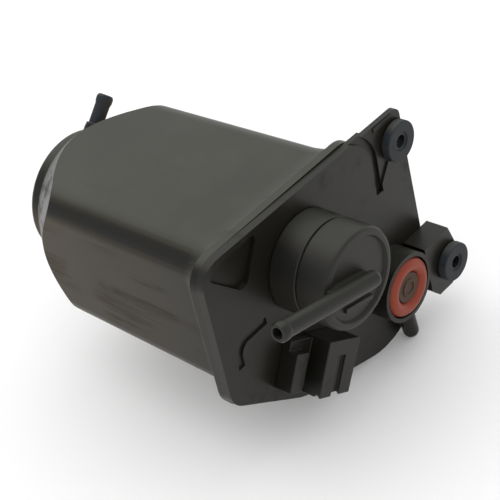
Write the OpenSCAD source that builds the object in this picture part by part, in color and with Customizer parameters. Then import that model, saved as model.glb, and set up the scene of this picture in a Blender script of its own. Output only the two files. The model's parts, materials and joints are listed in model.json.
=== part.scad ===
// Fuel vapour filter canister: a charcoal-filled box with a round end cap,
// and a lid that carries a purge valve, an air port, a mounting shoe and two bushed lugs.
// +X runs along the canister towards the lid, +Z is up.
// The origin is on the axis of the upper lug's bore, in the plane where the lid meets the housing.

/* [Housing] */
// Width of the housing at the flange, across Y
body_w = 102; // [86:1:122]
// Height of the housing at the flange, along Z
body_h = 82; // [68:1:92]
// Length of the housing behind the lid, shoulder included
body_len = 141.5; // [121:1:170]
// Slope of the conical shoulder that narrows to the round end
shoulder_slope = 0.72; // [0.65:0.01:1]
// Radius of the shoulder where it meets the end cap
shoulder_r = 39; // [37:0.5:42]
// Radius of the housing's long edges
body_r = 13; // [8:0.5:20]
// How much each side of the housing draws in towards the back
draft = 2.2; // [0.5:0.1:3]
// Wall of the housing
wall = 2.4; // [1.6:0.1:3.2]
// How far the housing's flange stands out at the sides
flange_side = 7.5; // [5:0.5:12]
// How far the housing's flange stands out at the top and bottom
flange_top = 2.5; // [2:0.5:8]
// Thickness of the housing's flange
flange_t = 4.2; // [3:0.1:6]

/* [End cap] */
// Radius of the round end cap
cap_r = 35; // [28:0.5:36]
// Length of the end cap
cap_len = 12; // [10:0.5:18]
// Angle of the tank spigot above the horizontal
tank_angle = 43.5; // [20:0.5:70]
// Length of the tank spigot outside the end cap
tank_len = 19.6; // [14:0.1:30]
// Sideways shift of the tank spigot from the cap's axis
tank_shift = 10.9; // [0:0.1:14]

/* [Spigots] */
// Outside radius of both hose spigots
spigot_r = 4.2; // [3:0.1:5]
// Bore radius of both hose spigots
spigot_bore = 2.7; // [1.5:0.1:3]
// How far the hose beads stand out from the spigots
bead_h = 0.5; // [0.2:0.1:0.8]
// Length of the hose beads' round land
bead_land = 2.2; // [1:0.1:3]

/* [Lid] */
// Thickness of the lid
lid_t = 4.5; // [3.5:0.1:6]
// Distance from the canister axis to the upper lug, along Y
lug_side = 81.2; // [77:0.1:90]
// Height of the upper lug above the canister axis
lug_up = 26.4; // [22:0.1:30]
// Distance from the upper lug to the lower lug, along Y
lower_side = 14.7; // [8:0.1:18]
// Distance from the upper lug down to the lower lug
lower_down = 81.9; // [76:0.1:88]
// Height of the lower lug's block above the lid
block_t = 13.3; // [8:0.1:18]
// Width of the mounting shoe
shoe_w = 41; // [36:0.5:48]
// Height of the mounting shoe, across its width
shoe_h = 29; // [24:0.5:32]
// Depth of the mounting shoe, along X
shoe_t = 16; // [12:0.5:20]
// Width of the mounting shoe's slot
shoe_slot = 7; // [6:0.5:9]

/* [Lugs] */
// Bore radius of the steel sleeves
sleeve_bore = 3.3; // [2.6:0.1:4]
// Wall of the steel sleeves
sleeve_wall = 1.2; // [0.8:0.1:1.6]
// Wall of the rubber bushes
bush_wall = 2; // [1.5:0.1:2.6]
// Radius of the bushes' front discs
bush_disc_r = 10.6; // [8.5:0.1:11]
// Thickness of the bushes' front discs
bush_disc_t = 5; // [3:0.1:6]

/* [Purge valve] */
// Radius of the valve
valve_r = 25.2; // [22:0.1:28]
// Height of the valve's base cup above the lid
valve_base_t = 15.6; // [13:0.1:20]
// Height of the valve's cap
valve_cap_t = 16.3; // [13:0.1:20]
// Thickness of the diaphragm's clamped rim
diaphragm_t = 1.2; // [0.8:0.1:2]
// Travel of the valve's plunger
valve_travel = 3; // [1.5:0.1:4]
// Reach of the purge spigot from the valve's axis
purge_reach = 62; // [45:0.5:75]
// Angle of the purge spigot above the horizontal
purge_angle = 15.5; // [0:0.5:40]

/* [Air port] */
// Outside radius of the air port's collar
collar_r = 19; // [18:0.1:22]
// Height of the collar above the lid
collar_t = 14.1; // [12:0.1:20]
// Thickness radius of the sealing ring
seal_r = 3.9; // [3:0.1:4]
// Travel of the check disc
check_travel = 2; // [1:0.1:2.5]

/* [Inside] */
// Length of each charcoal bed
bed_len = 90; // [76:1:95]
// Thickness of the foam pads
foam_t = 4; // [2:0.5:5]
// Thickness of the perforated plates
plate_t = 2.5; // [1.5:0.1:3]
// Travel of the spring plates
plate_travel = 4; // [2:0.5:5]

/* [Hidden] */
// Clearances: between pieces fixed together, between moving pieces, and round loose fillings
fit_gap = 0.05;
slide_gap = 0.4;
fill_gap = 0.5;

// Places on the lid, as [Y, Z] from the canister axis
valve_at = [4.4, 6.9];
port_at = [59.6, -47.2];
chamber_at = [52, -46];
upper_at = [lug_side, lug_up];
lower_at = [lug_side + lower_side, lug_up - lower_down];

// Lid outline: corner circles as [Y, Z, radius]
lid_top = body_h / 2 + flange_top;
lid_left = -body_w / 2 - flange_side;
lid_corners = [
  [lid_left + 12, lid_top - 12, 12],
  [lid_left + 12.5, -29, 13],
  [0, -40, 31],
  [chamber_at[0], chamber_at[1], 41],
  [upper_at[0] + 2, lid_top - 6.5, 5]
];

// Channel in the lid's face: its outer corner as [Y, Z], and its width
channel_corner = [lid_left + 8.5, -5];
channel_w = 4;

// Mounting shoe: turn in the lid's plane, left edge and top edge, and the slot's floor
shoe_turn = 31.2;
shoe_left = -3.5;
shoe_top = -30;
shoe_floor = 5;

// Valve stations along X
valve_seam = lid_t + valve_base_t;
cap_start = valve_seam + diaphragm_t;
valve_front = cap_start + valve_cap_t;
valve_floor = lid_t + 2.5;
seat_top = valve_floor + 6;
purge_x = valve_front + spigot_r - 0.3;
plunger_front = cap_start + 1.6;
chamber_roof = valve_front - 3.5;

// Lug stations along X: the upper lug's arm is thinner than the lid
arm_back = 1.5;
arm_rib_y = body_w / 2 + 15.5;
lower_face = lid_t + block_t;
sleeve_r = sleeve_bore + sleeve_wall;
bush_r = sleeve_r + bush_wall;
bush_back_t = 2.5;

// Air port stations along X
disc_back = lid_t + 1.6;
disc_t = 1;
insert_flange_x = disc_back + disc_t + check_travel + 0.9;
insert_flange_t = 2.4;
seal_x = insert_flange_x + insert_flange_t + seal_r + 0.1;
insert_r = 8.2;

// Housing stations along X
body_end = -body_len;
cap_at = [2.5, -3];
inner_w = body_w - 2 * draft - 2 * wall;
inner_h = body_h - 2 * draft - 2 * wall;
bed_front = -8;
bed_back = bed_front - bed_len;
pad_back = bed_back - foam_t;
plate_back = pad_back - plate_t;
grid_back = -4.4;
grid_t = 1.3;

// Air chamber behind the lid's lower corner
chamber_r = 34;
chamber_depth = 30;
chamber_wall = 2.2;
chamber_clear = 0.6;

// ---- helpers ----

// Moves children from the canister axis to the model's frame
module canister() translate([0, -lug_side, -lug_up]) children();

// Stands a Z-up shape along +X at a place on the lid
module along_x(x, at = [0, 0]) translate([x, at[0], at[1]]) rotate([90, 0, 90]) children();

// Rounded rectangle outline, round stretches in steps of 11.25 degrees
function rounded_points(w, h, r, steps = 8) = [
  for (corner = [[1, 1, 0], [-1, 1, 90], [-1, -1, 180], [1, -1, 270]])
    for (i = [0 : steps])
      let (a = corner[2] + 90 * i / steps)
        [corner[0] * (w / 2 - r) + r * cos(a), corner[1] * (h / 2 - r) + r * sin(a)]
];

// Flat slab of a rounded rectangle, from x to x + t
module slab(x, t, w, h, r) along_x(x) linear_extrude(t) polygon(rounded_points(w, h, r));

// Round bar along +X
module bar(x0, x1, r, at = [0, 0], fn = 64) along_x(x0, at) cylinder(h = x1 - x0, r = r, $fn = fn);

// Tube along +X
module tube(x0, x1, r_out, r_in, at = [0, 0]) difference() {
  bar(x0, x1, r_out, at);
  bar(x0 - 1, x1 + 1, r_in, at);
}

// Coil spring along +X, swept round wire
module coil(x0, x1, r, wire, turns, at) {
  sides = 8;
  per_turn = 16;
  rings = turns * per_turn;
  pitch = (x1 - x0 - 2 * wire) / rings;
  points = [
    for (i = [0 : rings])
      for (j = [0 : sides - 1])
        let (a = 360 * i / per_turn, b = 360 * j / sides)
          [(r + wire * cos(b)) * cos(a), (r + wire * cos(b)) * sin(a), wire + i * pitch + wire * sin(b)]
  ];
  sides_faces = [
    for (i = [0 : rings - 1])
      for (j = [0 : sides - 1])
        let (k = (j + 1) % sides)
          [i * sides + j, (i + 1) * sides + j, (i + 1) * sides + k, i * sides + k]
  ];
  ends = [
    [for (j = [0 : sides - 1]) j],
    [for (j = [sides - 1 : -1 : 0]) rings * sides + j]
  ];
  along_x(x0, at) polyhedron(points, concat(sides_faces, ends), convexity = 10);
}

// ---- housing and end cap ----

// Cone round the end cap's axis that trims the housing's back corners
module shoulder(inset, end_x) along_x(0, cap_at) rotate_extrude($fn = 96) polygon([
  [0, end_x], [shoulder_r - inset + shoulder_slope * (end_x - body_end), end_x],
  [body_w, body_end + (body_w - shoulder_r + inset) / shoulder_slope], [body_w, 10], [0, 10]
]);

module housing() color([0.10, 0.10, 0.09]) canister() difference() {
  union() {
    intersection() {
      hull() {
        slab(body_end, 1, body_w - 2 * draft, body_h - 2 * draft, body_r);
        slab(-1, 1, body_w, body_h, body_r);
      }
      shoulder(0, body_end);
    }
    // flare towards the flange
    hull() {
      slab(-flange_t - 13, 1, body_w - 0.8, body_h - 0.8, body_r);
      slab(-flange_t - 4, 1, body_w + 2.4, body_h + 0.4, body_r + 0.5);
    }
    hull() {
      slab(-flange_t - 4, 1, body_w + 2.4, body_h + 0.4, body_r + 0.5);
      slab(-flange_t, 1, body_w + 9, body_h + 3, body_r + 0.5);
    }
    slab(-flange_t, flange_t, body_w + 2 * flange_side, body_h + 2 * flange_top, body_r);
  }
  intersection() {
    slab(body_end, body_len + 1, inner_w, inner_h, body_r - wall);
    shoulder(wall * 1.23, body_end + wall);
  }
  bar(body_end - 1, body_end + wall + 1, 8, cap_at);
}

// End cap: a round cup with a rounded back edge and a boss for the tank spigot
module cap_profile(r, len, edge) polygon(concat(
  [[0, 0], [r, 0]],
  [for (a = [0 : 15 : 90]) [r - edge + edge * cos(a), len - edge + edge * sin(a)]],
  [[0, len]]
));

// Places children on the tank spigot's axis, with Z running outwards from the cap's rim
module on_tank_spigot() {
  mid_x = body_end - cap_len / 2;
  reach = sqrt(cap_r * cap_r - tank_shift * tank_shift);
  translate([mid_x, cap_at[0], cap_at[1]]) rotate([tank_angle, 0, 0])
    translate([0, reach, tank_shift]) rotate([-90, 0, 0]) children();
}

module end_cap() color([0.12, 0.12, 0.11]) canister() difference() {
  union() {
    translate([body_end, cap_at[0], cap_at[1]]) rotate([0, -90, 0]) rotate_extrude($fn = 96)
      cap_profile(cap_r, cap_len, 3.5);
    on_tank_spigot() translate([0, 0, -8]) cylinder(h = 9.5, r = spigot_r + 1.1, $fn = 48);
  }
  translate([body_end + 1, cap_at[0], cap_at[1]]) rotate([0, -90, 0]) rotate_extrude($fn = 96)
    cap_profile(cap_r - wall, cap_len - wall + 1, 2);
  on_tank_spigot() translate([0, 0, -12]) cylinder(h = 20, r = spigot_r - 0.4 + fit_gap, $fn = 48);
}

// Hose bead at a spigot's tip, its last face at z = 0 and its land behind that
module bead(r) {
  tip = 1.4;
  translate([0, 0, -tip]) cylinder(h = tip, r1 = r + bead_h, r2 = r - 0.3, $fn = 48);
  translate([0, 0, -tip - bead_land]) cylinder(h = bead_land, r = r + bead_h, $fn = 48);
  translate([0, 0, -tip - bead_land - 2]) cylinder(h = 2, r1 = r, r2 = r + bead_h, $fn = 48);
}

module tank_spigot() color([0.27, 0.29, 0.32]) canister() on_tank_spigot() difference() {
  r = spigot_r - 0.2;
  union() {
    translate([0, 0, -6]) cylinder(h = 9, r = r - 0.2, $fn = 48);
    translate([0, 0, 1.55]) cylinder(h = 1.6, r = spigot_r + 0.9, $fn = 48);
    translate([0, 0, 1.6]) cylinder(h = tank_len - 3, r = r, $fn = 48);
    translate([0, 0, tank_len]) bead(r);
  }
  translate([0, 0, -7]) cylinder(h = tank_len + 8, r = spigot_bore, $fn = 48);
}

// ---- lid ----

module lid_outline(inset = 0) hull()
  for (c = lid_corners) translate([c[0], c[1]]) circle(r = c[2] - inset, $fn = 48);

// Raised field of the lid, its right edge just past the housing's flange
module field_outline(grow) translate([0, -20])
  polygon(rounded_points(body_w + 23 + 2 * grow, 2 * (lid_top + 20 + grow), 20 + grow));

module lower_block_outline() {
  c = lower_at;
  polygon([
    [c[0] - 19, c[1] + 20], [c[0] + 2, c[1] + 20], [c[0] + 6.7, c[1] + 7.5], [c[0] + 7, c[1] - 7],
    [c[0] + 1, c[1] - 16.5], [c[0] - 11, c[1] - 16], [c[0] - 17, c[1] - 9]
  ]);
}

module lid() color([0.13, 0.13, 0.12]) canister() difference() {
  union() {
    along_x(0) linear_extrude(lid_t) lid_outline();
    // inner skirt that fits inside the housing
    slab(-3, 3.5, inner_w - 2 * slide_gap, inner_h - 2 * slide_gap, body_r - wall);
    // arm rib along the top edge and a gusset under the upper lug
    translate([lid_t - 1, arm_rib_y, lid_top - 4.4]) cube([1.6, upper_at[0] - arm_rib_y, 2.4]);
    along_x(lid_t - 1) linear_extrude(2) polygon([
      [upper_at[0] - 17.5, upper_at[1] - 21], [upper_at[0] - 14, upper_at[1] - 22],
      [upper_at[0] + 7, upper_at[1] - 9], [upper_at[0] + 4, upper_at[1] - 4],
      [upper_at[0] - 6, upper_at[1] - 6]
    ]);
  }
  // hollow of the skirt
  slab(-4, 4, inner_w - 2 * slide_gap - 2 * wall, inner_h - 2 * slide_gap - 2 * wall, body_r - 2 * wall);
  // groove between the raised field and the lug arm
  intersection() {
    along_x(lid_t - 1.6) linear_extrude(6) difference() {
      field_outline(4.2);
      field_outline(0);
    }
    translate([0, 30, upper_at[1] - 22]) cube([20, 60, 60]);
  }
  // back of the lug arm
  translate([-5, body_w / 2 + flange_side + 1.5, upper_at[1] - 20]) cube([5 + arm_back, 60, 60]);
  // pocket in the corner above the valve
  along_x(lid_t - 3) linear_extrude(6) hull() {
    translate([lid_left + 9, lid_top - 7]) circle(r = 3.5, $fn = 24);
    translate([lid_left + 23, lid_top - 20]) circle(r = 4.5, $fn = 24);
    translate([lid_left + 34, lid_top - 5.5]) circle(r = 2.5, $fn = 24);
  }
  // shallow channel that turns a corner below the purge spigot
  along_x(lid_t - 1.2) linear_extrude(4) intersection() {
    translate(channel_corner + [30, -30]) difference() {
      polygon(rounded_points(60, 60, 10));
      polygon(rounded_points(60 - 2 * channel_w, 60 - 2 * channel_w, 10 - channel_w));
    }
    translate(channel_corner + [-1, -15]) square([24, 16]);
  }
  // passages under the valve and the air port
  bar(-5, lid_t + 1, 4.5, valve_at);
  bar(-5, lid_t + 1, 9, port_at);
  // room for the upper bush's disc, and the seats of the two bushes
  bar(lid_t, lid_t + bush_disc_t, bush_disc_r + 0.3, upper_at);
  bar(-5, lid_t + 5, bush_r + fit_gap, upper_at);
  bar(-5, lid_t + 5, bush_r + fit_gap, lower_at);
}

// Block that carries the lower lug, cut back round the air port's collar
module lug_block() color([0.13, 0.13, 0.12]) canister() difference() {
  along_x(lid_t + fit_gap) linear_extrude(block_t - fit_gap) lower_block_outline();
  bar(lid_t, lower_face + 1, collar_r + 0.3, port_at);
  bar(lid_t, lower_face + 1, bush_r + fit_gap, lower_at);
  // hollow behind the block's inner corner, open towards the lid
  translate([lid_t - 1, lower_at[0] - 13, lower_at[1] + 10.5]) cube([block_t - 2, 13, 6.5]);
}

// Air chamber: a pot behind the lid, cut round the housing's flange corner
module chamber_outline(r, clear) difference() {
  translate(chamber_at) circle(r = r, $fn = 96);
  translate([-100, -body_h / 2 - flange_top - clear])
    square([100 + body_w / 2 + flange_side + clear, 200]);
}

module air_chamber() color([0.11, 0.11, 0.10]) canister() difference() {
  along_x(-chamber_depth) linear_extrude(chamber_depth - fit_gap) chamber_outline(chamber_r, chamber_clear);
  along_x(-chamber_depth + chamber_wall) linear_extrude(chamber_depth)
    chamber_outline(chamber_r - chamber_wall, chamber_clear + chamber_wall);
}

module air_filter_foam() color([0.35, 0.34, 0.30]) canister()
  along_x(-chamber_depth + chamber_wall + fill_gap) linear_extrude(chamber_depth - 12)
    chamber_outline(chamber_r - chamber_wall - fill_gap, chamber_clear + chamber_wall + fill_gap);

// ---- lugs ----

// Rubber bush from a disc behind the lid to a disc on the front face
module bush(back_x, face_x, at) difference() {
  union() {
    bar(back_x - bush_back_t, back_x - fit_gap, bush_disc_r - 0.5, at);
    bar(back_x - bush_back_t, face_x + 1, bush_r, at);
    bar(face_x + fit_gap, face_x + bush_disc_t, bush_disc_r, at);
  }
  bar(back_x - bush_back_t - 1, face_x + bush_disc_t + 1, sleeve_r + fit_gap, at);
}

module upper_bush() color([0.26, 0.28, 0.30]) canister() bush(arm_back, lid_t, upper_at);
module lower_bush() color([0.26, 0.28, 0.30]) canister() bush(0, lower_face, lower_at);

module upper_sleeve() color([0.5, 0.5, 0.5]) canister()
  tube(arm_back - bush_back_t, lid_t + bush_disc_t - 0.8, sleeve_r, sleeve_bore, upper_at);
module lower_sleeve() color([0.5, 0.5, 0.5]) canister()
  tube(-bush_back_t, lower_face + bush_disc_t - 0.8, sleeve_r, sleeve_bore, lower_at);

// ---- purge valve ----

module valve_base() color([0.12, 0.12, 0.12]) canister() difference() {
  bar(lid_t + fit_gap, valve_seam, valve_r, valve_at);
  difference() {
    bar(valve_floor, valve_seam + 1, valve_r - 3.6, valve_at);
    bar(valve_floor - 1, seat_top - 1, 7.5, valve_at);
  }
  bar(lid_t - 1, valve_seam, 4.5, valve_at);
}

module valve_seat_seal() color([0.08, 0.08, 0.08]) canister()
  tube(seat_top - 1 + fit_gap, seat_top, 7, 4.8, valve_at);

// Diaphragm: flat rim and web with one raised fold
module valve_diaphragm() color([0.09, 0.09, 0.10]) canister() {
  fold_r = 17;
  fold_h = 2.2;
  t = diaphragm_t - 2 * fit_gap;
  along_x(valve_seam + fit_gap, valve_at) rotate_extrude($fn = 96) polygon(concat(
    [[8.5, 0], [fold_r - 2.4, 0]],
    [for (a = [150 : -30 : 30]) [fold_r + 2.2 * cos(a), fold_h * sin(a)]],
    [[fold_r + 2.4, 0], [valve_r - 1, 0], [valve_r - 1, t], [fold_r + 3.4, t]],
    [for (a = [30 : 30 : 150]) [fold_r + 3.2 * cos(a), t + fold_h * sin(a)]],
    [[fold_r - 3.4, t], [8.5, t]]
  ));
}

module valve_plunger() color([0.75, 0.74, 0.70]) canister() union() {
  bar(seat_top + fit_gap, seat_top + 2.5, 7.5, valve_at);
  bar(seat_top + 2, cap_start + 1, 8 - slide_gap, valve_at);
  bar(cap_start + fit_gap + 0.1, plunger_front, 12.5, valve_at);
}

module valve_spring() color([0.6, 0.6, 0.58]) canister()
  coil(plunger_front + fit_gap, chamber_roof, 8, 0.6, 5, valve_at);

module on_purge_axis() translate([0, valve_at[0], valve_at[1]]) rotate([-purge_angle, 0, 0]) children();

module valve_cap() color([0.12, 0.12, 0.12]) canister() difference() {
  union() {
    // cup with a raised rim and a recessed front
    along_x(cap_start, valve_at) rotate_extrude($fn = 96) polygon([
      [0, 0], [valve_r, 0], [valve_r, valve_cap_t - 2.5], [valve_r - 0.8, valve_cap_t - 0.8],
      [valve_r - 2.5, valve_cap_t], [valve_r - 4, valve_cap_t], [valve_r - 5, valve_cap_t - 1.5],
      [0, valve_cap_t - 1.5]
    ]);
    on_purge_axis() {
      // spigot tube, its closed inner end, and the web that carries it
      translate([purge_x, 4, 0]) rotate([90, 0, 0]) cylinder(h = purge_reach + 2.6, r = spigot_r, $fn = 48);
      translate([purge_x, 4, 0]) sphere(r = spigot_r, $fn = 48);
      translate([purge_x, -purge_reach, 0]) rotate([90, 0, 0]) bead(spigot_r);
      translate([valve_front - 3, -valve_r + 1.5, -spigot_r + 0.8])
        cube([spigot_r + 2, valve_r + 2, 2 * spigot_r - 1.6]);
      // short stiffening rib beside the spigot
      translate([valve_front - 2.5, -9, -14]) cube([2.4, 20, 2.2]);
    }
  }
  // spring chamber with the ring that stops the plunger, spigot bore and the passage between them
  difference() {
    bar(cap_start - 1, chamber_roof, valve_r - 3.6, valve_at);
    tube(plunger_front + valve_travel + slide_gap, chamber_roof + 1, 13, 10.4, valve_at);
  }
  on_purge_axis() translate([purge_x, 2.5, 0]) rotate([90, 0, 0])
    cylinder(h = purge_reach + 10, r = spigot_bore, $fn = 48);
  bar(valve_front - 5, purge_x, 2.2, valve_at);
}

// ---- air port ----

module port_collar() color([0.11, 0.11, 0.11]) canister() difference() {
  union() {
    bar(lid_t + fit_gap, lid_t + collar_t, collar_r, port_at);
    // drain spout under the collar
    translate([lid_t + 5.5, port_at[0] + 3.5, port_at[1] - 15.5]) rotate([188, 0, 0]) {
      cylinder(h = 22, r = 4.3, $fn = 48);
      translate([0, 0, 22]) sphere(r = 4.3, $fn = 48);
    }
  }
  bar(lid_t + 1.5, lid_t + collar_t + 1, collar_r - 2.3, port_at);
  bar(lid_t - 1, lid_t + collar_t, 9, port_at);
  translate([lid_t + 5.5, port_at[0] + 3.5, port_at[1] - 15.5]) rotate([188, 0, 0])
    translate([0, 0, -3]) cylinder(h = 40, r = 1.8, $fn = 32);
}

module port_seal_ring() color([0.62, 0.20, 0.10]) canister()
  along_x(seal_x, port_at) rotate_extrude($fn = 96)
    translate([insert_r + 0.1 + seal_r, 0]) circle(r = seal_r, $fn = 48);

module port_insert() color([0.36, 0.31, 0.27]) canister() difference() {
  union() {
    bar(insert_flange_x, insert_flange_x + insert_flange_t, collar_r - 2.3 - fit_gap, port_at);
    bar(insert_flange_x, seal_x + 2, insert_r, port_at);
    tube(seal_x + 1, seal_x + 2.8, 4.9, 3.6, port_at);
  }
  // air holes through the flange, and the blind hollow behind the front
  for (a = [0 : 60 : 300])
    bar(insert_flange_x - 1, insert_flange_x + insert_flange_t + 1, 1.6,
      port_at + 12.5 * [cos(a), sin(a)], 24);
  bar(insert_flange_x - 1, seal_x, insert_r - 1.8, port_at);
}

module check_disc() color([0.15, 0.15, 0.15]) canister()
  bar(disc_back, disc_back + disc_t, 11, port_at);

module check_spring() color([0.6, 0.6, 0.58]) canister()
  coil(disc_back + disc_t + fit_gap, seal_x - 0.1, 3.6, 0.35, 5, port_at);

// ---- mounting shoe ----

// Block turned in the lid's plane, with a slot between two posts, open at the bottom
module mounting_shoe() color([0.14, 0.14, 0.13]) canister() {
  post_w = 25;
  low = shoe_top - shoe_h;
  translate([lid_t + fit_gap, 0, 0]) rotate([-shoe_turn, 0, 0]) difference() {
    union() {
      translate([0, shoe_left, low + 3]) cube([shoe_t - 6, shoe_w - post_w + 1, shoe_h - 9]);
      translate([0, shoe_left, low + 5]) cube([shoe_floor, shoe_w - post_w + 1, shoe_h - 6]);
      translate([0, shoe_left + shoe_w - post_w, 0]) rotate([90, 0, 90])
        linear_extrude(shoe_t) polygon([
          [0, low], [post_w - 1, low], [post_w, shoe_top - 1.5], [post_w - 1.5, shoe_top], [0, shoe_top]
        ]);
    }
    // slot, open at the bottom
    translate([shoe_floor, shoe_left + shoe_w - post_w - shoe_slot, low - 1])
      cube([shoe_t, shoe_slot, shoe_h - 4]);
    // slope of the main post's lower front edge
    translate([shoe_t, 0, low]) rotate([0, 35, 0]) translate([-3, -50, -10]) cube([10, 150, 10]);
    // step down the main post's front
    translate([shoe_t - 1.5, shoe_left + shoe_w - post_w + 9, low - 1]) cube([3, 6, shoe_h - 7]);
  }
}

// ---- inside the housing ----

// Half of the housing's inside, upper or lower, between two stations
module half_fill(x0, x1, side, gap) intersection() {
  slab(x0, x1 - x0, inner_w - 2 * gap, inner_h - 2 * gap, body_r - wall);
  translate([x0 - 1, -inner_w, side > 0 ? wall / 2 + gap : -inner_h - wall / 2 - gap])
    cube([x1 - x0 + 2, 2 * inner_w, inner_h]);
}

module partition() color([0.14, 0.14, 0.13]) canister()
  translate([plate_back - plate_travel - 1, -inner_w / 2 + 0.1, -wall / 2])
    cube([grid_back - 0.1 - plate_back + plate_travel + 1, inner_w - 0.2, wall]);

module upper_charcoal() color([0.05, 0.05, 0.05]) canister()
  half_fill(bed_back + fit_gap, bed_front, 1, fill_gap);
module lower_charcoal() color([0.05, 0.05, 0.05]) canister()
  half_fill(bed_back + fit_gap, bed_front, -1, fill_gap);

module upper_front_foam() color([0.4, 0.38, 0.3]) canister()
  half_fill(bed_front + fit_gap, grid_back - 0.7, 1, fill_gap);
module lower_front_foam() color([0.4, 0.38, 0.3]) canister()
  half_fill(bed_front + fit_gap, grid_back - 0.7, -1, fill_gap);
module upper_back_foam() color([0.4, 0.38, 0.3]) canister() half_fill(pad_back, bed_back, 1, 2 * fill_gap);
module lower_back_foam() color([0.4, 0.38, 0.3]) canister() half_fill(pad_back, bed_back, -1, 2 * fill_gap);

// Rows of air holes over the housing's inside
module grid_holes(x0, x1, z_rows) for (z = z_rows) for (y = [-36 : 12 : 36]) bar(x0, x1, 3, [y, z], 24);

module front_grid() color([0.18, 0.18, 0.17]) canister() difference() {
  slab(grid_back, grid_t, inner_w - 2 * fill_gap, inner_h - 2 * fill_gap, body_r - wall);
  grid_holes(grid_back - 1, grid_back + grid_t + 1, [-22, -10, 10, 22]);
}

module spring_plate(side) difference() {
  half_fill(plate_back, pad_back - fit_gap, side, 2 * fill_gap);
  grid_holes(plate_back - 1, pad_back + 1, [side * 10, side * 24]);
}
module upper_spring_plate() color([0.2, 0.2, 0.19]) canister() spring_plate(1);
module lower_spring_plate() color([0.2, 0.2, 0.19]) canister() spring_plate(-1);

module bed_spring(side)
  coil(body_end + wall + 0.1, plate_back - fit_gap, 6.5, 0.8, 6, [side * 14, side * 17]);
module upper_bed_spring() color([0.6, 0.6, 0.58]) canister() bed_spring(1);
module lower_bed_spring() color([0.6, 0.6, 0.58]) canister() bed_spring(-1);

housing();
end_cap();
tank_spigot();
lid();
lug_block();
air_chamber();
air_filter_foam();
upper_bush();
lower_bush();
upper_sleeve();
lower_sleeve();
valve_base();
valve_seat_seal();
valve_diaphragm();
valve_plunger();
valve_spring();
valve_cap();
port_collar();
port_seal_ring();
port_insert();
check_disc();
check_spring();
mounting_shoe();
partition();
upper_charcoal();
lower_charcoal();
front_grid();
upper_front_foam();
lower_front_foam();
upper_back_foam();
lower_back_foam();
upper_spring_plate();
lower_spring_plate();
upper_bed_spring();
lower_bed_spring();
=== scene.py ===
"""Fuel vapour filter canister: moulded plastic skins, rubber and metal finishes round a fixed CAD frame."""

import json
import math

import bmesh
import bpy
from mathutils import Matrix, Vector

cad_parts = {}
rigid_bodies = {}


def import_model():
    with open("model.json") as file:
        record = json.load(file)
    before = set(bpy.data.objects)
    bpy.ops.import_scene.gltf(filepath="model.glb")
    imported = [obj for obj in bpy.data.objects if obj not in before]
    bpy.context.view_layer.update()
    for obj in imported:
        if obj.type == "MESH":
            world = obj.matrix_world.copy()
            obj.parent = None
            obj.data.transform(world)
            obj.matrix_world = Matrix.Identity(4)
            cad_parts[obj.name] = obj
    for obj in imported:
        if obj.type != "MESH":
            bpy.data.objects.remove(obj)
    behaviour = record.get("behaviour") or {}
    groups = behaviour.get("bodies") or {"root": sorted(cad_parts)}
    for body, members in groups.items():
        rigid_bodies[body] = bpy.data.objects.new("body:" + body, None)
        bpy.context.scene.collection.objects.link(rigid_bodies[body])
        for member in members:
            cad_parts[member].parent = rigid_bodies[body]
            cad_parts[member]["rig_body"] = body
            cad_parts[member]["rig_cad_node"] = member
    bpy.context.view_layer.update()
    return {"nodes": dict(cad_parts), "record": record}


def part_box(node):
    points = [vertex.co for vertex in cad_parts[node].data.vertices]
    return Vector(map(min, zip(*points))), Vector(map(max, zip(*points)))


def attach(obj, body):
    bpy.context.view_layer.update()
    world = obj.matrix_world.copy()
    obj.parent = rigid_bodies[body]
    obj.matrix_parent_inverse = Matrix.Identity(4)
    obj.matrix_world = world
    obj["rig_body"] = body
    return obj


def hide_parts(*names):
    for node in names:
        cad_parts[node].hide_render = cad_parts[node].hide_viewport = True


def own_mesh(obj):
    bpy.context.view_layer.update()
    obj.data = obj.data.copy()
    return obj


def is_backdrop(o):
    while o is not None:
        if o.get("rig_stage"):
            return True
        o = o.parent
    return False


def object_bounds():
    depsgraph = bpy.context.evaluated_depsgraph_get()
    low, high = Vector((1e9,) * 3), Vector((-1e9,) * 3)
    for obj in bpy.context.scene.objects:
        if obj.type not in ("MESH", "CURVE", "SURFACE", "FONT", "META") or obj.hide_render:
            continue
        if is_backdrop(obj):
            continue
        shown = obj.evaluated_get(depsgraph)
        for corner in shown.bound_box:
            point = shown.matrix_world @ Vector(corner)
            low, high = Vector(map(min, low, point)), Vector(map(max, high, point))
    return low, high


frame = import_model()

bl_info = {
    "name": "Fuel vapour canister",
    "version": (1, 0, 0),
    "blender": (4, 5, 0),
    "location": "3D View > Sidebar > Canister",
    "description": "Builds the canister's moulded shells, rubber pieces and studio stage on the CAD frame",
    "category": "Object",
}

MM = 0.001
ROOT = "canister"

# The point that the camera aims from: on the canister's own axis, at the flange's back
AXIS_POINT = Vector((-4.2, -81.2, -26.4)) * MM

# Dust and painted light: how upright a face is, from where each starts to where it is full. Top: pale dust
# with a painted sheen. Sides and underside: a painted brown reflection of the ground. Faces between the two
# get neither, which leaves a painted dark band on rounded edges.
TOP_DUST_AND_SHEEN = (0.72, 0.99)
SIDE_GROUND_REFLECTION = (0.5, 0.1)
# Noise levels between which a speck, a scratch or a rubbed patch fades in
SPECKS = (0.62, 0.8)
SCRATCHES = (0.52, 0.66)
RUBBED = (0.42, 0.62)
# Noise scales, per metre
SPECK_SCALE = 900.0
RUBBED_SCALE = 22.0
GRAIN_SCALE = 1400.0
SINK_SCALE = 26.0

# Springs: CAD node, joint, fixed end, wire radius and turns.
# The fixed end is 0 for the box's low X end and 1 for its high X end.
SPRINGS = (
    ("valve_spring", "plunger_lift", 1, 0.6 * MM, 6),
    ("check_spring", "check_lift", 1, 0.35 * MM, 6),
    ("upper_bed_spring", "upper_plate_slide", 0, 0.8 * MM, 8),
    ("lower_bed_spring", "lower_plate_slide", 0, 0.8 * MM, 8),
)

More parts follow.
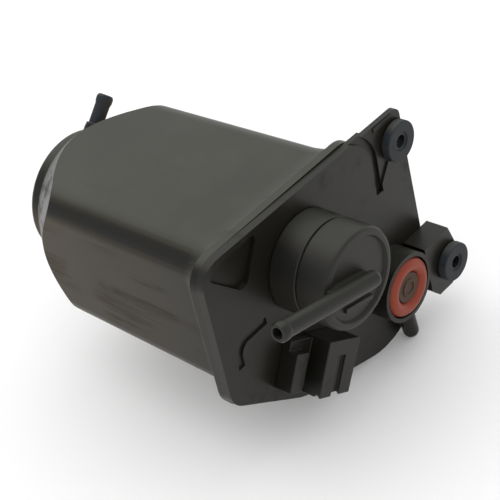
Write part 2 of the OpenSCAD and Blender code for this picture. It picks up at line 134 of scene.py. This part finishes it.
# Finish of each material slot whose pieces keep their CAD shape
INNER_FINISHES = {
    "black_plastic": "shell_black", "foam": "open_foam", "charcoal": "charcoal_grains",
    "spring_steel": "spring_wire", "seal_rubber": "seal_black", "pale_plastic": "pale_nylon",
}

# Area lights: place from the canister's middle, and size, in metres
KEY_PLACE, KEY_SIZE = Vector((-0.2, -0.1, 1.0)), 1.2
FILL_PLACE, FILL_SIZE = Vector((0.9, -0.5, 0.35)), 0.8
FLOOR_SIZE = 8


# ---------------------------------------------------------------- settings


def colour_prop(name, description, default):
    """A colour picker property."""
    return bpy.props.FloatVectorProperty(
        name=name, description=description, subtype="COLOR", size=3, min=0, max=1, default=default
    )


def length_prop(name, description, default):
    """A length property in metres."""
    return bpy.props.FloatProperty(
        name=name, description=description, unit="LENGTH", min=0, precision=5, default=default
    )


class CANISTER_finishes(bpy.types.PropertyGroup):
    """Colours and gloss of the canister's materials, with the colours of its dust and of its painted sheen
    and reflections.
    """

    shell_colour: colour_prop("Shell", "Colour of the housing's black plastic", (0.007, 0.0068, 0.005))
    lid_colour: colour_prop("Lid", "Colour of the lid's black plastic", (0.006, 0.0057, 0.0042))
    valve_colour: colour_prop("Valve", "Colour of the valve's plastic", (0.009, 0.009, 0.0075))
    grey_colour: colour_prop("Tank spigot", "Colour of the dark grey spigot", (0.011, 0.014, 0.019))
    bush_colour: colour_prop("Bushes", "Colour of the lugs' rubber", (0.016, 0.021, 0.026))
    ring_colour: colour_prop("Sealing ring", "Colour of the air port's ring", (0.20, 0.028, 0.011))
    insert_colour: colour_prop("Insert", "Colour of the air port's insert", (0.048, 0.027, 0.019))
    # Dust and painted sheen: this pale colour stands for real dust on top and also paints a sheen on faces
    # pointing up.
    dust_and_sheen_colour: colour_prop("Dust", "Colour of the dust on top", (0.20, 0.207, 0.17))
    # Painted reflection: this brown colour paints the reflection of the ground on the canister's sides and
    # underside; it is not dirt.
    ground_reflection_colour: colour_prop("Soil", "Colour of the brown dirt on the sides", (0.15, 0.105, 0.052))
    shell_roughness: bpy.props.FloatProperty(
        name="Shell roughness", description="Roughness of the black plastic", min=0, max=1, default=0.3
    )
    # Sets how much dust lies on the canister and also how strong the painted sheen and ground reflection are.
    dust_and_reflection_amount: bpy.props.FloatProperty(
        name="Dust amount", description="How much dust lies on the canister", min=0, max=1, default=0.22
    )


class CANISTER_shapes(bpy.types.PropertyGroup):
    """Edge radii and small added shapes."""

    shell_edge: length_prop("Shell edge", "Rounding of the housing's edges", 0.0012)
    lid_edge: length_prop("Lid edge", "Rounding of the lid's edges", 0.0008)
    fine_edge: length_prop("Fine edge", "Rounding of small pieces' edges", 0.0004)
    weld_bead: length_prop("Weld bead", "Radius of the bead that welds the valve's halves", 0.00045)


class CANISTER_stage_settings(bpy.types.PropertyGroup):
    """Floor, lights and camera."""

    floor_colour: colour_prop("Floor", "Colour of the floor", (0.93, 0.93, 0.93))
    key_power: bpy.props.FloatProperty(
        name="Key light", description="Power of the large soft light", min=0, unit="POWER", default=3.0
    )
    fill_power: bpy.props.FloatProperty(
        name="Fill light", description="Power of the side light", min=0, unit="POWER", default=1.0
    )
    world_strength: bpy.props.FloatProperty(
        name="World", description="Brightness of the surrounding room", min=0, default=1.0
    )
    lens: bpy.props.FloatProperty(
        name="Lens", description="Focal length in millimetres", min=10, default=95.75
    )
    azimuth: bpy.props.FloatProperty(
        name="Azimuth", description="Camera's turn about the vertical",
        subtype="ANGLE", default=math.radians(48.56)
    )
    elevation: bpy.props.FloatProperty(
        name="Elevation", description="Camera's height angle", subtype="ANGLE", default=math.radians(36.98)
    )
    roll: bpy.props.FloatProperty(
        name="Roll", description="Camera's turn about its own axis",
        subtype="ANGLE", default=math.radians(-13.35)
    )
    distance: length_prop("Distance", "Distance from the camera to the canister's axis at the flange", 0.6289)
    aside: length_prop("Aside", "How far left of that point the camera stands", 0.01696)
    above: length_prop("Above", "How far above that point the camera stands", 0.009335)


# ---------------------------------------------------------------- node groups


def new_group(name, inputs, outputs):
    """An empty shader node group with the named sockets, and its input and output nodes."""
    group = bpy.data.node_groups.new(name, "ShaderNodeTree")
    for label, kind, default in inputs:
        socket = group.interface.new_socket(label, in_out="INPUT", socket_type=kind)
        socket.default_value = default
    for label, kind in outputs:
        group.interface.new_socket(label, in_out="OUTPUT", socket_type=kind)
    return group, group.nodes.new("NodeGroupInput"), group.nodes.new("NodeGroupOutput")


def noise(nodes, links, vector, scale, detail=4.0, roughness=0.6):
    """A noise texture in object coordinates."""
    tex = nodes.new("ShaderNodeTexNoise")
    tex.inputs["Detail"].default_value = detail
    tex.inputs["Roughness"].default_value = roughness
    if isinstance(scale, (int, float)):
        tex.inputs["Scale"].default_value = scale
    else:
        links.new(scale, tex.inputs["Scale"])
    links.new(vector, tex.inputs["Vector"])
    return tex


def ramp(nodes, links, value, low, high):
    """Maps low..high to 0..1 with a smooth step."""
    node = nodes.new("ShaderNodeMapRange")
    node.interpolation_type = "SMOOTHSTEP"
    node.inputs["From Min"].default_value = low
    node.inputs["From Max"].default_value = high
    links.new(value, node.inputs["Value"])
    return node.outputs["Result"]


def maths(nodes, links, operation, *values):
    """A math node fed by sockets or numbers."""
    node = nodes.new("ShaderNodeMath")
    node.operation = operation
    for socket, value in zip(node.inputs, values):
        if isinstance(value, (int, float)):
            socket.default_value = value
        else:
            links.new(value, socket)
    return node.outputs["Value"]


def dust_and_reflection_group():
    """Dust with painted light: pale dust and a painted sheen on top, a painted brown reflection of the ground
    on the sides that grows darker towards the flange, and a painted dark band left bare on the rounded edges,
    broken into patches and specks.

    Gives a mask, and a colour that runs from the painted ground reflection on the sides to pale dust and
    sheen on top."""
    finishes = bpy.context.scene.canister_finishes
    group, start, end = new_group(
        "dust_and_reflection_film",
        [
            ("Patch Scale", "NodeSocketFloat", 28.0), ("Amount", "NodeSocketFloat", 0.5),
            ("Shaded X", "NodeSocketFloat", 0.0), ("Lit X", "NodeSocketFloat", -0.14),
        ],
        [("Mask", "NodeSocketFloat"), ("Colour", "NodeSocketColor")],
    )
    nodes, links = group.nodes, group.links
    coords = nodes.new("ShaderNodeTexCoord").outputs["Object"]
    normal = nodes.new("ShaderNodeSeparateXYZ")
    links.new(nodes.new("ShaderNodeNewGeometry").outputs["Normal"], normal.inputs["Vector"])
    place = nodes.new("ShaderNodeSeparateXYZ")
    links.new(coords, place.inputs["Vector"])
    # Painted shade: faces whose upright normal lies between the two ramps get no film, a painted dark band
    # along the rounded edges.
    top = ramp(nodes, links, normal.outputs["Z"], *TOP_DUST_AND_SHEEN)
    sides = ramp(nodes, links, normal.outputs["Z"], *SIDE_GROUND_REFLECTION)
    # Painted shade: the sides' painted ground reflection drops to a quarter at the flange end, so the sides
    # get darker towards the flange.
    along = nodes.new("ShaderNodeMapRange")
    links.new(place.outputs["X"], along.inputs["Value"])
    links.new(start.outputs["Shaded X"], along.inputs["From Min"])
    links.new(start.outputs["Lit X"], along.inputs["From Max"])
    along.inputs["To Min"].default_value = 0.25
    faded = maths(nodes, links, "MULTIPLY", sides, along.outputs["Result"])
    settled_and_reflected = maths(nodes, links, "MAXIMUM", top, faded)
    patches = nodes.new("ShaderNodeMapRange")
    cloudy = noise(nodes, links, coords, start.outputs["Patch Scale"])
    links.new(cloudy.outputs["Fac"], patches.inputs["Value"])
    patches.inputs["From Min"].default_value = 0.25
    patches.inputs["From Max"].default_value = 0.75
    patches.inputs["To Min"].default_value = 0.7
    specks = ramp(nodes, links, noise(nodes, links, coords, SPECK_SCALE, 2.0).outputs["Fac"], *SPECKS)
    film = maths(nodes, links, "MULTIPLY", settled_and_reflected, patches.outputs["Result"])
    both = maths(nodes, links, "MAXIMUM", film, maths(nodes, links, "MULTIPLY", specks, 0.5))
    links.new(maths(nodes, links, "MULTIPLY", both, start.outputs["Amount"]), end.inputs["Mask"])
    # Painted light: top faces take the pale dust-and-sheen colour, the sides the painted brown reflection of
    # the ground.
    tint = nodes.new("ShaderNodeMix")
    tint.data_type = "RGBA"
    tint.inputs["A"].default_value = (*finishes.ground_reflection_colour, 1)
    tint.inputs["B"].default_value = (*finishes.dust_and_sheen_colour, 1)
    links.new(top, tint.inputs["Factor"])
    links.new(tint.outputs["Result"], end.inputs["Colour"])
    return group


def scuff_group():
    """Scuffs: long thin scratches and rubbed patches. Gives a mask."""
    group, start, end = new_group(
        "scuffs",
        [("Scale", "NodeSocketFloat", 60.0), ("Stretch", "NodeSocketVector", (0.06, 1.0, 1.0))],
        [("Mask", "NodeSocketFloat")],
    )
    nodes, links = group.nodes, group.links
    coords = nodes.new("ShaderNodeTexCoord").outputs["Object"]
    stretched = nodes.new("ShaderNodeVectorMath")
    stretched.operation = "MULTIPLY"
    links.new(coords, stretched.inputs[0])
    links.new(start.outputs["Stretch"], stretched.inputs[1])
    lines = noise(nodes, links, stretched.outputs["Vector"], start.outputs["Scale"], 6.0, 0.7).outputs["Fac"]
    rubbed = noise(nodes, links, coords, RUBBED_SCALE, 3.0).outputs["Fac"]
    scratches = ramp(nodes, links, lines, *SCRATCHES)
    patches = ramp(nodes, links, rubbed, *RUBBED)
    links.new(maths(nodes, links, "MULTIPLY", scratches, patches), end.inputs["Mask"])
    return group


def grain_group():
    """Moulded surface: fine grain over slow sink marks. Gives a height."""
    group, start, end = new_group(
        "moulded_grain",
        [("Grain", "NodeSocketFloat", 0.3), ("Sink", "NodeSocketFloat", 1.0)],
        [("Height", "NodeSocketFloat")],
    )
    nodes, links = group.nodes, group.links
    coords = nodes.new("ShaderNodeTexCoord").outputs["Object"]
    fine = noise(nodes, links, coords, GRAIN_SCALE, 3.0).outputs["Fac"]
    slow = noise(nodes, links, coords, SINK_SCALE, 2.0, 0.4).outputs["Fac"]
    height = maths(
        nodes, links, "ADD",
        maths(nodes, links, "MULTIPLY", fine, start.outputs["Grain"]),
        maths(nodes, links, "MULTIPLY", slow, start.outputs["Sink"]),
    )
    links.new(height, end.inputs["Height"])
    return group


GROUPS = {}


def effect(name):
    """The shared node group of that name, built the first time it is asked for."""
    makers = {"dust_and_reflection_film": dust_and_reflection_group, "scuffs": scuff_group, "moulded_grain": grain_group}
    if name not in GROUPS:
        GROUPS[name] = makers[name]()
    return GROUPS[name]


def place_effect(tree, name, **values):
    """Puts a shared effect in a material, with its own values."""
    node = tree.nodes.new("ShaderNodeGroup")
    node.node_tree = effect(name)
    for label, value in values.items():
        node.inputs[label.replace("_", " ")].default_value = value
    return node


# ---------------------------------------------------------------- materials


def finish_material(name, colour, roughness, dust_and_reflection=0.4, scuff=0.15, grain=0.3, sink=1.0, metallic=0.0,
                    specular=0.26, bump=0.12):
    """A worn finish: base colour under dust and painted sheen and reflection, roughness that varies with
    scuffs, and a moulded bump.
    """
    finish = bpy.data.materials.new(name)
    finish.use_nodes = True
    tree = finish.node_tree
    shader = tree.nodes["Principled BSDF"]
    # Painted light: this film paints a sheen on top, a brown ground reflection on the sides and a dark band
    # on rounded edges, along with real dust.
    film = place_effect(tree, "dust_and_reflection_film", Patch_Scale=24.0, Amount=dust_and_reflection)
    worn = place_effect(tree, "scuffs")
    moulded = place_effect(tree, "moulded_grain", Grain=grain, Sink=sink)

    tint = tree.nodes.new("ShaderNodeMix")
    tint.data_type = "RGBA"
    tint.inputs["A"].default_value = (*colour, 1)
    tree.links.new(film.outputs["Colour"], tint.inputs["B"])
    tree.links.new(film.outputs["Mask"], tint.inputs["Factor"])
    tree.links.new(tint.outputs["Result"], shader.inputs["Base Color"])

    dusty = maths(tree.nodes, tree.links, "MULTIPLY_ADD", film.outputs["Mask"], 0.45, roughness)
    rubbed = maths(tree.nodes, tree.links, "MULTIPLY", worn.outputs["Mask"], scuff)
    total = maths(tree.nodes, tree.links, "ADD", dusty, rubbed)
    tree.links.new(total, shader.inputs["Roughness"])

    height = tree.nodes.new("ShaderNodeBump")
    height.inputs["Strength"].default_value = bump
    height.inputs["Distance"].default_value = 0.0006
    tree.links.new(moulded.outputs["Height"], height.inputs["Height"])
    tree.links.new(height.outputs["Normal"], shader.inputs["Normal"])

    shader.inputs["Metallic"].default_value = metallic
    shader.inputs["Specular IOR Level"].default_value = specular
    return finish


MATERIALS = {}


def material(name):
    """The finish of that name, built the first time it is asked for."""
    if name in MATERIALS:
        return MATERIALS[name]
    f = bpy.context.scene.canister_finishes
    rough = f.shell_roughness
    makers = {
        "shell_black": lambda: finish_material(
            name, f.shell_colour, rough, f.dust_and_reflection_amount * 1.2, scuff=0.25, specular=0.18
        ),
        "lid_black": lambda: finish_material(
            name, f.lid_colour, rough + 0.05, f.dust_and_reflection_amount * 0.35, scuff=0.2
        ),
        "valve_black": lambda: finish_material(name, f.valve_colour, rough + 0.12, f.dust_and_reflection_amount * 0.6),
        "spigot_grey": lambda: finish_material(name, f.grey_colour, 0.6, 0.2, sink=0.3),
        "bush_rubber": lambda: finish_material(
            name, f.bush_colour, 0.68, 0.25, grain=0.7, sink=0.3, bump=0.2
        ),
        "ring_red": lambda: finish_material(name, f.ring_colour, 0.38, 0.2, grain=0.5, sink=0.6, bump=0.2),
        "insert_brown": lambda: finish_material(name, f.insert_colour, 0.6, 0.35, grain=0.6, sink=0.6),
        "seal_black": lambda: finish_material(name, (0.012, 0.012, 0.012), 0.6, 0.1),
        "pale_nylon": lambda: finish_material(name, (0.55, 0.52, 0.45), 0.45, 0.05),
        "zinc_steel": lambda: finish_material(
            name, (0.045, 0.048, 0.052), 0.5, 0.15, metallic=1.0, sink=0.1, bump=0.05
        ),
        "spring_wire": lambda: finish_material(
            name, (0.5, 0.5, 0.49), 0.3, 0.05, metallic=1.0, sink=0.1, bump=0.04
        ),
        "open_foam": lambda: finish_material(name, (0.22, 0.2, 0.14), 0.95, 0.2, grain=2.5, bump=0.8),
        "charcoal_grains": lambda: finish_material(name, (0.01, 0.01, 0.01), 0.8, 0.1, grain=3.0, bump=1.0),
    }
    MATERIALS[name] = makers[name]()
    return MATERIALS[name]


# ---------------------------------------------------------------- meshes


def own_material(obj, name):
    """Gives an object one material."""
    obj.data.materials.clear()
    obj.data.materials.append(material(name))
    return obj


def smooth_object(mesh, name):
    """Turns a built mesh into a smooth object in the scene."""
    data = bpy.data.meshes.new(name)
    mesh.to_mesh(data)
    mesh.free()
    for polygon in data.polygons:
        polygon.use_smooth = True
    obj = bpy.data.objects.new(name, data)
    bpy.context.scene.collection.objects.link(obj)
    return obj


def moulded_copy(node, name, edge, finish, segments=3):
    """A smooth copy of a CAD node with rounded edges, which stands for that node."""
    source = frame["nodes"][node]
    mesh = bmesh.new()
    mesh.from_mesh(source.data)
    bmesh.ops.remove_doubles(mesh, verts=mesh.verts, dist=0.002 * MM)
    bmesh.ops.dissolve_limit(mesh, angle_limit=math.radians(1.5), verts=mesh.verts, edges=mesh.edges)
    obj = smooth_object(mesh, name)
    bevel = obj.modifiers.new("Rounded edges", "BEVEL")
    bevel.limit_method = "ANGLE"
    bevel.angle_limit = math.radians(32)
    bevel.width = edge
    bevel.segments = segments
    bevel.use_clamp_overlap = True
    weighted = obj.modifiers.new("Even shading", "WEIGHTED_NORMAL")
    weighted.keep_sharp = False
    own_material(obj, finish)
    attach(obj, source["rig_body"])
    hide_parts(node)
    return obj


def wire_object(name, stations, wire, sides, closed, finish):
    """Round wire through stations, each a centre and its outward direction, across the X direction."""
    mesh = bmesh.new()
    rings = [
        [
            mesh.verts.new(centre + outward * (wire * math.cos(b)) + Vector((wire * math.sin(b), 0, 0)))
            for b in (2 * math.pi * j / sides for j in range(sides))
        ]
        for centre, outward in stations
    ]
    following = rings[1:] + rings[:1] if closed else rings[1:]
    for here, there in zip(rings, following):
        for j in range(sides):
            k = (j + 1) % sides
            mesh.faces.new((here[j], there[j], there[k], here[k]))
    if not closed:
        mesh.faces.new(rings[0])
        mesh.faces.new(rings[-1])
    bmesh.ops.recalc_face_normals(mesh, faces=mesh.faces)
    obj = smooth_object(mesh, name)
    own_material(obj, finish)
    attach(obj, ROOT)
    return obj


def outward_at(angle):
    """Unit direction across the X direction, at an angle about it."""
    return Vector((0, math.cos(angle), math.sin(angle)))


def ring(name, centre, radius, section, finish):
    """A round bead about the X direction."""
    segments = 96
    directions = [outward_at(2 * math.pi * i / segments) for i in range(segments)]
    stations = [(centre + outward * radius, outward) for outward in directions]
    return wire_object(name, stations, section, 12, True, finish)


def coil_spring(node, joint, fixed_end, wire, turns):
    """A compression spring with closed end turns in a CAD node's box."""
    low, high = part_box(node)
    middle = (low + high) / 2
    length, radius = high.x - low.x, (high.y - low.y) / 2 - wire
    end_rise = 2.05 * wire
    first, last = wire + end_rise, length - wire - end_rise
    steps = 32
    stations = []
    for i in range(turns * steps + 1):
        turn = i / steps
        if turn < 1:
            along = wire + end_rise * turn
        elif turn > turns - 1:
            along = length - wire - end_rise * (turns - turn)
        else:
            along = first + (last - first) * (turn - 1) / (turns - 2)
        outward = outward_at(2 * math.pi * turn)
        stations.append((Vector((low.x + along, middle.y, middle.z)) + outward * radius, outward))
    obj = wire_object(f"{node}_coil", stations, wire, 10, False, "spring_wire")
    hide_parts(node)
    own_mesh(obj)
    return obj


# ---------------------------------------------------------------- operators


class CANISTER_OT_housing(bpy.types.Operator):
    """Builds the housing's moulded shell and the air chamber behind the lid"""

    bl_idname = "canister.housing"
    bl_label = "Housing"

    def execute(self, context):
        shapes = context.scene.canister_shapes
        moulded_copy("housing", "housing_shell", shapes.shell_edge, "shell_black")
        moulded_copy("air_chamber", "chamber_shell", shapes.lid_edge, "shell_black")
        return {"FINISHED"}


class CANISTER_OT_round_end(bpy.types.Operator):
    """Builds the round end cap and the tank spigot"""

    bl_idname = "canister.round_end"
    bl_label = "Round end"

    def execute(self, context):
        shapes = context.scene.canister_shapes
        moulded_copy("end_cap", "end_cap_shell", shapes.lid_edge, "shell_black")
        moulded_copy("tank_spigot", "tank_spigot_moulded", shapes.fine_edge, "spigot_grey")
        return {"FINISHED"}


class CANISTER_OT_lid(bpy.types.Operator):
    """Builds the lid with its lug arm and lower block"""

    bl_idname = "canister.lid"
    bl_label = "Lid"

    def execute(self, context):
        shapes = context.scene.canister_shapes
        moulded_copy("lid", "lid_shell", shapes.lid_edge, "lid_black")
        moulded_copy("lug_block", "lug_block_moulded", shapes.lid_edge, "lid_black")
        return {"FINISHED"}


class CANISTER_OT_lugs(bpy.types.Operator):
    """Builds the lugs' rubber bushes and steel sleeves"""

    bl_idname = "canister.lugs"
    bl_label = "Lugs"

    def execute(self, context):
        shapes = context.scene.canister_shapes
        for side in ("upper", "lower"):
            moulded_copy(f"{side}_bush", f"{side}_bush_rubber", shapes.lid_edge, "bush_rubber")
            moulded_copy(
                f"{side}_sleeve", f"{side}_sleeve_tube", shapes.fine_edge * 0.5, "zinc_steel"
            )
        return {"FINISHED"}


class CANISTER_OT_valve(bpy.types.Operator):
    """Builds the purge valve's base, cap, spigot and weld bead"""

    bl_idname = "canister.valve"
    bl_label = "Purge valve"

    def execute(self, context):
        shapes = context.scene.canister_shapes
        moulded_copy("valve_base", "valve_base_cup", shapes.lid_edge, "valve_black")
        moulded_copy("valve_cap", "valve_cap_moulded", shapes.fine_edge, "valve_black")
        low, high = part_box("valve_base")
        cap_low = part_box("valve_cap")[0]
        centre = Vector(((high.x + cap_low.x) / 2, (low.y + high.y) / 2, (low.z + high.z) / 2))
        radius = (high.y - low.y) / 2 - shapes.weld_bead * 2.5
        ring("valve_weld_bead", centre, radius, shapes.weld_bead, "valve_black")
        return {"FINISHED"}


class CANISTER_OT_air_port(bpy.types.Operator):
    """Builds the air port's collar, sealing ring and insert"""

    bl_idname = "canister.air_port"
    bl_label = "Air port"

    def execute(self, context):
        shapes = context.scene.canister_shapes
        moulded_copy("port_collar", "port_collar_moulded", shapes.fine_edge, "lid_black")
        moulded_copy("port_seal_ring", "seal_ring_rubber", shapes.fine_edge, "ring_red")
        moulded_copy("port_insert", "port_insert_moulded", shapes.fine_edge, "insert_brown")
        return {"FINISHED"}


class CANISTER_OT_shoe(bpy.types.Operator):
    """Builds the slotted mounting shoe"""

    bl_idname = "canister.shoe"
    bl_label = "Mounting shoe"

    def execute(self, context):
        shapes = context.scene.canister_shapes
        moulded_copy(
            "mounting_shoe", "mounting_shoe_moulded", shapes.shell_edge, "lid_black", 4
        )
        return {"FINISHED"}


class CANISTER_OT_inside(bpy.types.Operator):
    """Builds the springs and gives the other pieces inside their finishes"""

    bl_idname = "canister.inside"
    bl_label = "Inside"

    def execute(self, context):
        slots = {s["node"]: s["material_slot"] for s in frame["record"]["subparts"]}
        for node, obj in frame["nodes"].items():
            if slots[node] in INNER_FINISHES and "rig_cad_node" in obj and not obj.hide_render:
                own_material(obj, INNER_FINISHES[slots[node]])
        for spring in SPRINGS:
            coil_spring(*spring)
        return {"FINISHED"}


class CANISTER_OT_stage(bpy.types.Operator):
    """Builds the floor, the room, the lights and the camera"""

    bl_idname = "canister.stage"
    bl_label = "Stage"

    def floor(self, settings, low):
        """A wide pale floor just under the canister."""
        bpy.ops.mesh.primitive_plane_add(size=FLOOR_SIZE, location=(0, 0, low.z))
        floor = bpy.context.object
        floor.name = "floor"
        pale = bpy.data.materials.new("pale_floor")
        pale.use_nodes = True
        shader = pale.node_tree.nodes["Principled BSDF"]
        shader.inputs["Base Color"].default_value = (*settings.floor_colour, 1)
        shader.inputs["Roughness"].default_value = 0.9
        floor.data.materials.append(pale)
        floor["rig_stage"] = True

    def light(self, name, place, size, power, target):
        """A square area light aimed at the target."""
        data = bpy.data.lights.new(name, "AREA")
        data.size = size
        data.energy = power
        lamp = bpy.data.objects.new(name, data)
        lamp.location = place
        lamp.rotation_euler = (Vector(place) - target).to_track_quat("Z", "Y").to_euler()
        bpy.context.scene.collection.objects.link(lamp)

    def camera(self, settings):
        """A camera that looks at the canister's axis from the front corner, slightly rolled."""
        a, e = settings.azimuth, settings.elevation
        back = Vector((math.sin(a) * math.cos(e), -math.cos(a) * math.cos(e), math.sin(e)))
        right = back.cross(Vector((0, 0, -1))).normalized()
        up = back.cross(right)
        spin = Matrix.Rotation(settings.roll, 3, back)
        right, up = spin @ right, spin @ up
        data = bpy.data.cameras.new("camera")
        data.lens = settings.lens
        data.sensor_width = 36
        camera = bpy.data.objects.new("camera", data)
        turn = Matrix((right, up, back)).transposed()
        place = AXIS_POINT + back * settings.distance - right * settings.aside + up * settings.above
        camera.matrix_world = Matrix.Translation(place) @ turn.to_4x4()
        bpy.context.scene.collection.objects.link(camera)
        bpy.context.scene.camera = camera

    def execute(self, context):
        settings = context.scene.canister_stage
        low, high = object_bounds()
        middle = (low + high) / 2
        self.floor(settings, low)
        self.light("key_light", middle + KEY_PLACE, KEY_SIZE, settings.key_power, middle)
        self.light("fill_light", middle + FILL_PLACE, FILL_SIZE, settings.fill_power, middle)
        world = bpy.data.worlds.new("room")
        world.use_nodes = True
        world.node_tree.nodes["Background"].inputs["Color"].default_value = (1, 1, 1, 1)
        world.node_tree.nodes["Background"].inputs["Strength"].default_value = settings.world_strength
        context.scene.world = world
        context.scene.view_settings.view_transform = "Standard"
        self.camera(settings)
        return {"FINISHED"}


STEPS = ("housing", "round_end", "lid", "lugs", "valve", "air_port", "shoe", "inside", "stage")


class CANISTER_PT_panel(bpy.types.Panel):
    """Lists the canister's settings and building steps"""

    bl_idname = "CANISTER_PT_panel"
    bl_label = "Fuel vapour canister"
    bl_space_type = "VIEW_3D"
    bl_region_type = "UI"
    bl_category = "Canister"

    def draw(self, context):
        for settings in ("canister_finishes", "canister_shapes", "canister_stage"):
            group = getattr(context.scene, settings)
            box = self.layout.box()
            for name in group.__annotations__:
                box.prop(group, name)
        for step in STEPS:
            self.layout.operator(f"canister.{step}")


CLASSES = (
    CANISTER_finishes,
    CANISTER_shapes,
    CANISTER_stage_settings,
    CANISTER_OT_housing,
    CANISTER_OT_round_end,
    CANISTER_OT_lid,
    CANISTER_OT_lugs,
    CANISTER_OT_valve,
    CANISTER_OT_air_port,
    CANISTER_OT_shoe,
    CANISTER_OT_inside,
    CANISTER_OT_stage,
    CANISTER_PT_panel,
)


def register():
    for cls in CLASSES:
        bpy.utils.register_class(cls)
    bpy.types.Scene.canister_finishes = bpy.props.PointerProperty(type=CANISTER_finishes)
    bpy.types.Scene.canister_shapes = bpy.props.PointerProperty(type=CANISTER_shapes)
    bpy.types.Scene.canister_stage = bpy.props.PointerProperty(type=CANISTER_stage_settings)


def unregister():
    del bpy.types.Scene.canister_stage
    del bpy.types.Scene.canister_shapes
    del bpy.types.Scene.canister_finishes
    for cls in reversed(CLASSES):
        bpy.utils.unregister_class(cls)


def main():
    """Builds every step."""
    register()
    for step in STEPS:
        getattr(bpy.ops.canister, step)()


if __name__ == "__main__":
    main()
